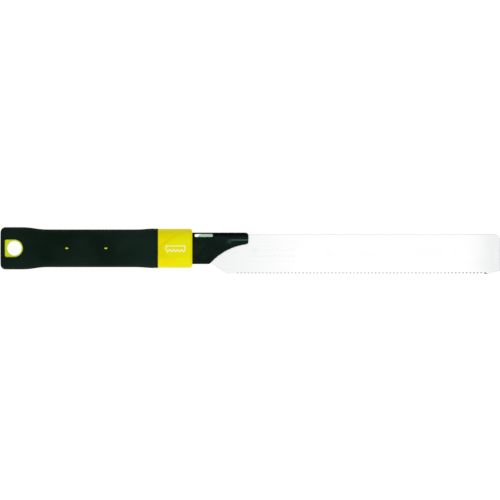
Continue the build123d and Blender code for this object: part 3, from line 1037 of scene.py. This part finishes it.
    def window_cutter(self) -> Object:
        """The D-shaped window's cutter: half round towards the blade and straight towards the butt."""
        x = self.butt + self.hole_from_butt
        centre = self.datum.at(x)
        height = 2 * (self.half + 1 * MM)
        cutter = add_cylinder("window_cutter", centre, self.window_half, height, 96)
        rear = self.butt + self.window_rear_margin
        with editing(cutter):
            slice_at(centre, (-1, 0, 0), drop_above=True)
            pick_faces(cutter, lambda c, n: abs(c.x - centre.x) < NEAR and abs(n.x) > 0.9)
            extrude(x=rear - x)
            back = self.datum.at(rear).x
            pick_edges(cutter, lambda a, b: max(a.x, b.x) < back + NEAR and abs(a.z - b.z) > NEAR)
            round_edges(self.window_corner, 8)
        tidy_mesh(cutter)
        self.flare_ends(cutter, self.half, self.window_flare, centre, self.window_half)
        return cutter

    def pip_cutter(self, from_butt: float) -> Object:
        """A lens-shaped window's cutter, where two round cutters overlap.

        Args:
            from_butt: Distance of the window's centre from the butt.

        Returns:
            The cutter.
        """
        centre = self.datum.at(self.butt + from_butt)
        half_length, half_width = self.pip_length / 2, self.pip_width / 2
        radius = (half_length**2 + half_width**2) / (2 * half_width)
        offset = Vector((0, radius - half_width, 0))
        height = 2 * (self.half + 1 * MM)
        lens = add_cylinder("pip_cutter", centre + offset, radius, height, 96)
        combine(lens, add_cylinder("pip_cutter_other", centre - offset, radius, height, 96), Join.KEEP)
        self.flare_ends(lens, self.half, self.pip_flare, centre, half_length)
        return lens

    def build(self) -> Object:
        """Build the sleeve.

        Returns:
            The finished piece.
        """
        sleeve = self.body("grip_sleeve_rubber", 0.0)
        self.detail(sleeve)
        combine(sleeve, self.body("grip_core_space", self.wall, 1 * MM), Join.CUT)
        combine(sleeve, self.window_cutter(), Join.CUT)
        for from_butt in self.pips_from_butt:
            combine(sleeve, self.pip_cutter(from_butt), Join.CUT)
        tidy_mesh(sleeve)
        smooth(sleeve, 32)
        dress(sleeve, SoftRubber(self.datum.at(self.front).x).material())
        hand_over(sleeve, Body.HANDLE, Slot.GRIP, "grip_sleeve")
        return sleeve


@dataclass
class Collar:
    """The moulded collar with a raised leaf-shaped panel on both sides."""

    datum: Datum
    long_round: float = 10.4 * MM
    leaf_step: float = 0.5 * MM
    leaf_length: float = 27.2 * MM
    leaf_half_height: float = 14.6 * MM
    leaf_bulge: float = 3.0 * MM
    leaf_front_gap: float = 1.6 * MM
    leaf_edge: float = 0.55 * MM
    front_bevel: float = 1.4 * MM
    wall: float = 2.2 * MM
    front_wall: float = 3.5 * MM
    slot_clearance: float = 0.1 * MM

    def __post_init__(self) -> None:
        """Read the collar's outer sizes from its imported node."""
        low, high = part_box("front_collar")
        self.rear = low.x - self.datum.front
        self.half_height = (high.y - low.y) / 2
        self.half = (high.z - low.z) / 2

    def shell(self) -> Object:
        """The collar's outer volume with its bevelled front edge."""
        at = self.datum.at
        half = self.half - self.leaf_step
        low, high = at(self.rear, -self.half_height, -half), at(0, self.half_height, half)
        bar = rounded_bar("front_collar_moulding", low, high, self.long_round, 16)
        with editing(bar):
            pick_edges(bar, lambda a, b: min(a.x, b.x) > self.datum.front - NEAR)
            round_edges(self.front_bevel, 1)
            pick_edges(bar, lambda a, b: max(a.x, b.x) < low.x + NEAR)
            round_edges(0.35 * MM, 2)
            front, behind = at(0).x, at(-self.front_bevel).x
            pick_edges(bar, lambda a, b: min(a.x, b.x) > front - NEAR)
            round_edges(0.18 * MM, 2)
            pick_edges(bar, lambda a, b: max(abs(a.x - behind), abs(b.x - behind)) < NEAR)
            round_edges(0.18 * MM, 2)
        return bar

    def leaf(self) -> Object:
        """The leaf-shaped panels: where two large round solids and a slightly larger bar overlap."""
        at = self.datum.at
        front = -self.leaf_front_gap
        point = front - self.leaf_length
        chord = sqrt(self.leaf_length**2 + self.leaf_half_height**2)
        radius = (chord**2 / 4 + self.leaf_bulge**2) / (2 * self.leaf_bulge)
        back_off = (radius - self.leaf_bulge) / chord
        centre_x = (point + front) / 2 + self.leaf_half_height * back_off
        centre_y = self.leaf_half_height / 2 - self.leaf_length * back_off
        height = 4 * self.half
        leaf = add_cylinder("leaf_panel", at(centre_x, centre_y), radius, height, 256)
        combine(leaf, add_cylinder("leaf_other", at(centre_x, -centre_y), radius, height, 256), Join.KEEP)
        with editing(leaf):
            slice_at(at(front), (1, 0, 0), drop_above=True)
        low = at(self.rear, -self.half_height, -self.half)
        high = at(0, self.half_height, self.half)
        combine(leaf, rounded_bar("leaf_bar", low, high, self.long_round + self.leaf_step, 16), Join.KEEP)
        tidy_mesh(leaf)
        apply_modifier(
            leaf, "BEVEL", width=self.leaf_edge, segments=3, limit_method="ANGLE", angle_limit=radians(40)
        )
        return leaf

    def spaces(self) -> list[Object]:
        """Cutters for the socket behind the front wall and for the bracket's slot."""
        at = self.datum.at
        half_height, half = self.half_height - self.wall, self.half - self.leaf_step - self.wall
        socket = rounded_bar(
            "socket_cutter",
            at(self.rear - 1 * MM, -half_height, -half),
            at(-self.front_wall, half_height, half),
            self.long_round - self.wall,
        )
        low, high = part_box("head_bracket")
        grow = Vector((0, self.slot_clearance, self.slot_clearance))
        slot = add_box("slot_cutter", low - grow, Vector((at(1 * MM).x, high.y, high.z)) + grow)
        with editing(slot):
            top = high.y + grow.y
            pick_edges(slot, lambda a, b: abs(a.x - b.x) > NEAR and min(a.y, b.y) > top - NEAR)
            round_edges((high.z - low.z) / 2 + grow.z - 0.01 * MM, 10)
            pick_edges(slot, lambda a, b: abs(a.x - b.x) > NEAR and max(a.y, b.y) < low.y)
            round_edges(0.5 * MM, 3)
        return [socket, slot]

    def build(self) -> Object:
        """Build the collar.

        Returns:
            The finished piece.
        """
        mark = PrintArea(self.datum.at(-15.0 * MM, -0.6 * MM), 8.8 * MM, 3.0 * MM, 1.76 * MM, 0.52 * MM)
        shell_finish = MouldedPlastic("collar_plastic", (0.755, 0.670, 0.0014, 1), (0.700, 0.605, 0.0010, 1))
        # painted light: the raised panel is a slightly paler, greener copy of the same plastic as the shell
        lit_leaf_finish = MouldedPlastic(
            "collar_panel",
            (0.735, 0.700, 0.0022, 1),
            (0.695, 0.655, 0.0018, 1),
            roughness=0.34,
            print_area=mark,
        )
        collar, leaf = self.shell(), self.leaf()
        dress(collar, shell_finish.material())
        dress(leaf, lit_leaf_finish.material())
        combine(collar, leaf, Join.ADD)
        for cutter in self.spaces():
            dress(cutter, collar.data.materials[0])
            combine(collar, cutter, Join.CUT)
        tidy_mesh(collar)
        smooth(collar, 30)
        hand_over(collar, Body.HANDLE, Slot.COLLAR, "front_collar")
        return collar


@dataclass
class HeadBracket:
    """The head: one folded steel sheet with a round spine, a pinched flange, a slot and a coined dimple."""

    datum: Datum
    sheet: float = 1.5 * MM
    throat: float = 15.6 * MM
    throat_bulge: float = 3.8 * MM
    throat_round: float = 0.5 * MM
    nose_height: float = 10.4 * MM
    nose_top_round: float = 2.6 * MM
    nose_bottom_round: float = 2.0 * MM
    crease_drop: float = 6.9 * MM
    crease_width: float = 1.1 * MM
    flange_start: float = 29.5 * MM
    flange_full: float = 36.5 * MM
    pinch: float = 0.75 * MM
    coin_radius: float = 7.5 * MM
    coin_floor: float = 6.0 * MM
    slot_x: float = 10.4 * MM
    slot_length: float = 16.6 * MM
    slot_width: float = 2.6 * MM
    slot_drop: float = 2.7 * MM
    slot_flare: float = 0.04 * MM
    rim: float = 0.16 * MM
    cell: float = 0.36 * MM
    rivets_behind: tuple[float, float] = (8.5 * MM, 19.5 * MM)
    rivet_radius: float = 2.0 * MM
    rivet_head_radius: float = 3.0 * MM
    rivet_head_depth: float = 1.0 * MM

    def __post_init__(self) -> None:
        """Read the bracket's outer sizes and the pin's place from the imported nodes."""
        low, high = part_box("head_bracket")
        self.tail = low.x - self.datum.front
        self.nose = high.x - self.datum.front
        self.top = high.y - self.datum.axis
        self.bottom = low.y - self.datum.axis
        self.half = (high.z - low.z) / 2
        self.fold = self.top - self.half
        pin_low, pin_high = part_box("hook_pin")
        self.pin = (pin_low + pin_high) / 2

    def lower_edge(self, x: float) -> float:
        """Height of the cheeks' lower edge: full depth at the collar, then one long curve to the nose.

        Args:
            x: Place along x, from the collar's front.

        Returns:
            The edge's height from the centre line.
        """
        nose_bottom = self.top - self.nose_height
        run, rise = self.nose - self.throat, nose_bottom - self.bottom
        chord = sqrt(run**2 + rise**2)
        radius = (chord**2 / 4 + self.throat_bulge**2) / (2 * self.throat_bulge)
        back_off = (radius - self.throat_bulge) / chord
        centre_x = self.throat + run / 2 + rise * back_off
        centre_y = self.bottom + rise / 2 - run * back_off
        across = min(max(x, self.throat - 4 * MM) - centre_x, 0.0)
        curve = self.bottom - 9 * MM
        if abs(across) < radius:
            curve = centre_y + sqrt(max(radius**2 - across**2, 0.0))
        # a soft maximum rounds the corner between the straight edge and the curve
        gap = curve - self.bottom
        edge = self.bottom + (gap + sqrt(gap**2 + self.throat_round**2)) / 2
        corner = x - (self.nose - self.nose_bottom_round)
        if corner > 0:
            drop = sqrt(max(self.nose_bottom_round**2 - corner**2, 0.0))
            edge = max(edge, nose_bottom + self.nose_bottom_round - drop)
        return edge

    def columns(self) -> list[tuple[float, int]]:
        """Places along x of the sheet's main sections, with the number of cuts between each and the next."""
        round_start = self.nose - self.nose_top_round
        fine = int((round_start + 1 * MM) / self.cell / 2)
        middle = (round_start - 1 * MM) / 2
        found = [(self.tail, 7), (-1 * MM, min(fine, 99)), (middle, min(fine, 99)), (round_start, 0)]
        turns = (12, 24, 36, 48, 60, 72, 82, 90)
        return found + [(round_start + self.nose_top_round * sin(radians(turn)), 0) for turn in turns]

    def skin(self) -> Object:
        """The sheet's outer skin: a half-round spine with a cheek down each side, run along x."""
        at = self.datum.at
        clear_selection()
        bpy.ops.mesh.primitive_circle_add(
            vertices=64, radius=self.half, location=at(self.tail, self.fold), rotation=(0, pi / 2, 0)
        )
        skin = keep_new("head_bracket_sheet")
        fold = at(0, self.fold).y
        rows = int((self.fold - self.bottom) / self.cell)
        columns = self.columns()
        with editing(skin):
            pick_points(skin, lambda p: p.y < fold - NEAR)
            bpy.ops.mesh.delete(type="VERT")
            pick_points(skin, lambda p: p.y < fold + NEAR)
            extrude(y=self.bottom - self.fold)
            pick_edges(skin, lambda a, b: abs(a.y - b.y) > 5 * MM)
            bpy.ops.mesh.subdivide(number_cuts=rows - 1)
            bpy.ops.mesh.select_all(action="SELECT")
            for (x, _), (x_next, _) in zip(columns, columns[1:]):
                extrude(x=x_next - x)
            for (x, cuts), (x_next, _) in zip(columns, columns[1:]):
                if cuts:
                    low, high = at(x).x - NEAR, at(x_next).x + NEAR
                    pick_edges(
                        skin,
                        lambda a, b: abs(a.x - b.x) > NEAR and min(a.x, b.x) > low and max(a.x, b.x) < high,
                    )
                    bpy.ops.mesh.subdivide(number_cuts=cuts)
        return skin

    def trim(self, skin: Object) -> None:
        """Draw each section in to the cheeks' outline and lower the spine at the rounded nose.

        Args:
            skin: The outer skin at full depth.
        """
        at = self.datum.at
        places: list[float] = []
        for x in sorted(vertex.co.x for vertex in skin.data.vertices):
            if not places or x - places[-1] > NEAR:
                places.append(x)
        crease = self.top - self.crease_drop
        with editing(skin):
            for place in places:
                x = place - self.datum.front
                edge = at(0, self.lower_edge(x)).y
                if edge > at(0, self.bottom).y + NEAR:
                    pick_points(skin, lambda p: abs(p.x - place) < NEAR and p.y < edge + 0.4 * self.cell)
                    scale((1, 0, 1), Vector((place, edge, self.datum.middle)))
                past = x - (self.nose - self.nose_top_round)
                if past > NEAR:
                    drop = self.nose_top_round - sqrt(max(self.nose_top_round**2 - past**2, 0.0))
                    level = at(0, crease).y
                    pick_points(skin, lambda p: abs(p.x - place) < NEAR and p.y > level)
                    scale((1, 1 - drop / self.crease_drop, 1), Vector((place, level, self.datum.middle)))
        tidy_mesh(skin, 0.05 * MM)

    def press(self, skin: Object) -> None:
        """Press the flange and the dimple into both cheeks.

        Args:
            skin: The trimmed skin.
        """
        group = skin.vertex_groups.new(name="pressed")
        crease = self.datum.at(0, self.top - self.crease_drop).y
        start, full = self.datum.at(self.flange_start).x, self.datum.at(self.flange_full).x
        for vertex in skin.data.vertices:
            place = vertex.co
            flange = ease(place.y, crease + self.crease_width, crease) * ease(place.x, start, full)
            radius = sqrt((place.x - self.pin.x) ** 2 + (place.y - self.pin.y) ** 2)
            depth = max(flange, ease(radius, self.coin_radius, self.coin_floor))
            if depth > 0:
                group.add([vertex.index], depth, "REPLACE")
        apply_modifier(
            skin, "DISPLACE", direction="NORMAL", strength=-self.pinch, mid_level=0.0, vertex_group=group.name
        )
        skin.vertex_groups.clear()

    def holes(self) -> list[Object]:
        """Cutters for the slot, the pin and the rivets."""
        at = self.datum.at
        centre = at(self.slot_x, self.top - self.slot_drop)
        slot = add_cylinder("slot_hole", centre, self.slot_width / 2, 40 * MM, 48)
        straight = (self.slot_length - self.slot_width) / 2
        middle = at(self.slot_x)
        surface = self.half - self.slot_flare
        with editing(slot):
            for side in (1, -1):
                pick_points(slot, lambda p: (p.x - middle.x) * side > NEAR)
                move(x=side * straight)
            for side in (1, -1):
                slice_at(at(0, 0, side * surface), (0, 0, 1))
            for side in (1, -1):
                grow = 17.4 * MM
                pick_points(slot, lambda p: (p.z - middle.z) * side > surface + NEAR)
                scale((1 + 2 * grow / self.slot_length, 1 + 2 * grow / self.slot_width, 1), centre)
        found = [slot, add_cylinder("pin_hole", self.pin, 2.0 * MM, 20 * MM, 48)]
        for behind in self.rivets_behind:
            rivet = add_cylinder("rivet_hole", at(-behind), self.rivet_radius, 2 * self.half + 2 * MM, 48)
            with editing(rivet):
                for side in (1, -1):
                    slice_at(at(0, 0, side * (self.half - self.rivet_head_depth)), (0, 0, 1))
                for side in (1, -1):
                    pick_points(rivet, lambda p: (p.z - middle.z) * side > self.half)
                    wide = 1 + 2 * (self.rivet_head_radius / self.rivet_radius - 1)
                    scale((wide, wide, 1), at(-behind))
            found.append(rivet)
        return found

    def build(self) -> Object:
        """Build the bracket.

        Returns:
            The finished piece.
        """
        sheet = self.skin()
        self.trim(sheet)
        self.press(sheet)
        apply_modifier(sheet, "SOLIDIFY", thickness=self.sheet, offset=-1.0, use_even_offset=True)
        apply_modifier(
            sheet, "BEVEL", width=self.rim, segments=2, limit_method="ANGLE", angle_limit=radians(50)
        )
        for cutter in self.holes():
            combine(sheet, cutter, Join.CUT)
        tidy_mesh(sheet)
        smooth(sheet, 40)
        crease = self.datum.at(self.flange_full - 3 * MM, self.top - self.crease_drop + 0.15 * MM)
        dress(sheet, BlackCoating(crease, self.datum.at(0, self.fold).y).material())
        hand_over(sheet, Body.HANDLE, Slot.BRACKET, "head_bracket")
        return sheet


@dataclass
class HookPin:
    """The pin across the cheeks, its domed heads peened in the middle."""

    datum: Datum
    radius: float = 2.0 * MM
    head_radius: float = 2.7 * MM
    shoulder: float = 1.85 * MM
    profile: tuple[tuple[float, float], ...] = (
        (0.12, 1.0),
        (0.13, 0.97),
        (0.10, 0.91),
        (0.08, 0.86),
        (0.05, 0.80),
        (0.02, 0.72),
        (-0.05, 0.62),
        (-0.06, 0.55),
    )

    def build(self) -> Object:
        """Build the pin.

        Returns:
            The finished piece.
        """
        low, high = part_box("hook_pin")
        centre = (low + high) / 2
        pin = add_cylinder("hook_pin_riveted", centre, self.radius, 2 * self.shoulder, 48)
        with editing(pin):
            for side in (1, -1):
                top = centre.z + side * self.shoulder
                pick_faces(pin, lambda c, n: abs(c.z - top) < NEAR and n.z * side > 0.9)
                extrude()
                scale((self.head_radius / self.radius,) * 2 + (1,), centre)
                for rise, factor in self.profile:
                    extrude(z=side * rise * MM)
                    scale((factor, factor, 1), centre)
        tidy_mesh(pin)
        smooth(pin, 50)
        finish = PlainSteel("pin_blackened", (0.0090, 0.0165, 0.0130, 1), (0.0040, 0.0085, 0.0065, 1), 0.30)
        dress(pin, finish.material())
        hand_over(pin, Body.HANDLE, Slot.PIN, "hook_pin")
        return pin


@dataclass
class Blade:
    """The replaceable blade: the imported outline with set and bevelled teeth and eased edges."""

    datum: Datum
    tooth_height: float = 1.15 * MM
    set_width: float = 0.11 * MM
    tang_end: float = 20.5 * MM
    sign_x: float = 72.0 * MM
    sign_y: float = -1.5 * MM
    bevel_back: float = 0.42 * MM
    bevel_up: float = 1.0 * MM
    edge: float = 0.27 * MM

    def blank(self) -> Object:
        """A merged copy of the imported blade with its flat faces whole."""
        source = bpy.data.objects["saw_blade"]
        blank = bpy.data.objects.new("saw_blade_ground", source.data.copy())
        bpy.context.scene.collection.objects.link(blank)
        make_active(blank)
        bpy.ops.mesh.customdata_custom_splitnormals_clear()
        with editing(blank):
            bpy.ops.mesh.select_all(action="SELECT")
            bpy.ops.mesh.remove_doubles(threshold=NEAR / 4)
            bpy.ops.mesh.dissolve_limited(angle_limit=radians(0.5))
        return blank

    def sharpen(self, blade: Object) -> ToothRow:
        """Lean neighbouring teeth to opposite sides and bevel each on its inner side.

        Args:
            blade: The blank.

        Returns:
            Where the teeth stand.
        """
        low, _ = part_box("saw_blade")
        middle = self.datum.middle
        gullets = low.y + self.tooth_height
        with editing(blade):
            slice_at(Vector((0, gullets, 0)), (0, 1, 0))
            slice_at(Vector((0, gullets + 0.3 * MM, 0)), (0, 1, 0))
        tips = sorted({round(v.co.x, 6) for v in blade.data.vertices if v.co.y < low.y + NEAR})
        # the first and last two corners belong to the blank heel and the bevelled tip
        teeth = tips[2:-1]
        parity = {place: i % 2 for i, place in enumerate(teeth)}
        for side, turn in ((1, 0), (-1, 1)):
            with editing(blade):
                chosen = {place for place, odd in parity.items() if odd == turn}
                pick_points(blade, lambda p: p.y < low.y + NEAR and round(p.x, 6) in chosen)
                move(z=side * self.set_width)
                pick_points(
                    blade,
                    lambda p: p.y < low.y + NEAR and round(p.x, 6) in chosen and (p.z - middle) * side < 0,
                )
                move(x=self.bevel_back, y=self.bevel_up)
        last = teeth[1::2][-1]
        return ToothRow(teeth[1], last, (teeth[-2] - teeth[1]) / (len(teeth) - 3), gullets)

    def ease_edges(self, blade: Object) -> None:
        """Take the sharpness off the back, the tip and the heel.

        Args:
            blade: The sharpened blade.
        """
        low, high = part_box("saw_blade")
        line = low.y + self.tooth_height + 0.3 * MM

        def outline(a: Vector, b: Vector) -> bool:
            """Whether an edge lies on a face's outline above the teeth."""
            same_face = abs(a.z - b.z) < NEAR
            level = abs(a.y - line) < NEAR and abs(b.y - line) < NEAR
            return same_face and min(a.y, b.y) > line - NEAR and not level

        with editing(blade):
            pick_edges(blade, outline)
            round_edges(self.edge, 2)

    def build(self) -> Object:
        """Build the blade.

        Returns:
            The finished piece.
        """
        blade = self.blank()
        row = self.sharpen(blade)
        self.ease_edges(blade)
        tidy_mesh(blade)
        smooth(blade, 25)
        at = self.datum.at
        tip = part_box("saw_blade")[1].x
        steel = GroundSteel(at(self.tang_end, 2 * MM), at(self.sign_x, self.sign_y), tip, row)
        dress(blade, steel.material())
        hand_over(blade, Body.BLADE, Slot.BLADE, "saw_blade")
        return blade


@dataclass
class HiddenParts:
    """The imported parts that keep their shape: core halves, tang plate, rivets, dowels and screws."""

    core: tuple[str, ...] = ("core_upper", "core_lower")
    steel: tuple[str, ...] = ("tang_plate", "tang_rivets", "tang_dowels", "core_screws")

    def dress_all(self) -> None:
        """Give every kept part its finish."""
        # painted shade: the core is a darker, greener copy of the collar's yellow, seen in the recessed
        # windows
        plastic = MouldedPlastic(
            "core_plastic", (0.60, 0.70, 0.012, 1), (0.55, 0.64, 0.010, 1), roughness=0.42
        ).material()
        steel = PlainSteel("plain_steel_rolled", (0.60, 0.61, 0.60, 1), (0.42, 0.43, 0.42, 1)).material()
        for names, material in ((self.core, plastic), (self.steel, steel)):
            for name in names:
                dress(bpy.data.objects[name], material)
                LOG.info("%s: packed part dressed", name)


@dataclass
class Studio:
    """A light table with a soft sky, one low strip light and a long-lens camera straight above."""

    frame_width: float = 0.45
    lens: float = 1200.0
    sensor: float = 36.0
    plane_height: float = 12.5 * MM
    aim_x: float = -0.15 * MM
    aim_y: float = 0.5 * MM
    sky_lean: tuple[float, float, float] = (0.0, -0.45, 1.0)
    sky_ramp: tuple[float, float, float, float] = (-0.85, 0.70, 0.20, 0.990)

    def camera(self) -> None:
        """Place the camera."""
        data = bpy.data.cameras.new("studio_camera")
        data.lens = self.lens
        data.sensor_width = self.sensor
        data.clip_start, data.clip_end = 0.05, 80.0
        camera = bpy.data.objects.new("studio_camera", data)
        distance = self.frame_width * self.lens / self.sensor
        camera.location = (self.aim_x, self.aim_y, self.plane_height + distance)
        bpy.context.scene.collection.objects.link(camera)
        bpy.context.scene.camera = camera

    def floor(self) -> None:
        """Lay the pale light table."""
        clear_selection()
        bpy.ops.mesh.primitive_plane_add(size=60.0, location=(0, 0, -0.05 * MM))
        floor = keep_new("light_table")
        g = Graph("light_table_top")
        tone = g.mix(g.noise(0.12, 2), (0.13, 0.13, 0.13, 1), (0.15, 0.15, 0.15, 1))
        dress(floor, g.finish(
            base_color=tone,
            roughness=0.9,
            specular_ior_level=0.1,
            emission_color=(1, 1, 1, 1),
            emission_strength=0.93,
        ))

    def sky(self) -> None:
        """A white sky that turns grey towards the horizon behind the saw's spine."""
        world = bpy.data.worlds.new("studio_sky")
        bpy.context.scene.world = world
        world.use_nodes = True
        tree = world.node_tree
        tree.nodes.clear()
        place = tree.nodes.new("ShaderNodeTexCoord")
        tilt = tree.nodes.new("ShaderNodeVectorMath")
        tilt.operation = "DOT_PRODUCT"
        tilt.inputs[1].default_value = self.sky_lean
        ramp = tree.nodes.new("ShaderNodeMapRange")
        ramp.interpolation_type = "SMOOTHSTEP"
        shade = tree.nodes.new("ShaderNodeBackground")
        shade.inputs["Color"].default_value = (1, 1, 1, 1)
        output = tree.nodes.new("ShaderNodeOutputWorld")
        for name, value in zip(("From Min", "From Max", "To Min", "To Max"), self.sky_ramp):
            ramp.inputs[name].default_value = value
        tree.links.new(place.outputs["Generated"], tilt.inputs[0])
        tree.links.new(tilt.outputs["Value"], ramp.inputs["Value"])
        tree.links.new(ramp.outputs["Result"], shade.inputs["Strength"])
        tree.links.new(shade.outputs[0], output.inputs["Surface"])

    def lamp(self, name: str, place: Vector, size: tuple[float, float], power: float) -> None:
        """Add a rectangular lamp that faces the middle of the saw.

        Args:
            name: The lamp's name.
            place: Where it stands.
            size: Its width and height.
            power: Its power in watts.
        """
        data = bpy.data.lights.new(name, "AREA")
        data.shape = "RECTANGLE"
        data.size, data.size_y = size
        data.energy = power
        lamp = bpy.data.objects.new(name, data)
        lamp.location = place
        lamp.rotation_euler = (-place).to_track_quat("-Z", "Y").to_euler()
        bpy.context.scene.collection.objects.link(lamp)

    def build(self) -> None:
        """Set up the whole studio."""
        bpy.context.scene.view_settings.view_transform = "Standard"
        self.camera()
        self.floor()
        self.sky()
        self.lamp("front_softbox", Vector((0.05, -0.55, 0.72)), (1.0, 0.35), 1.6)
        LOG.info("studio ready")


def main() -> None:
    """Build every sub-assembly in order."""
    logging.basicConfig(level=logging.INFO, format="%(name)s %(message)s")
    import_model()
    datum = Datum.read()
    Studio().build()
    HiddenParts().dress_all()
    Grip(datum).build()
    Collar(datum).build()
    HeadBracket(datum).build()
    HookPin(datum).build()
    Blade(datum).build()
    clear_selection()


if __name__ == "__main__":
    main()
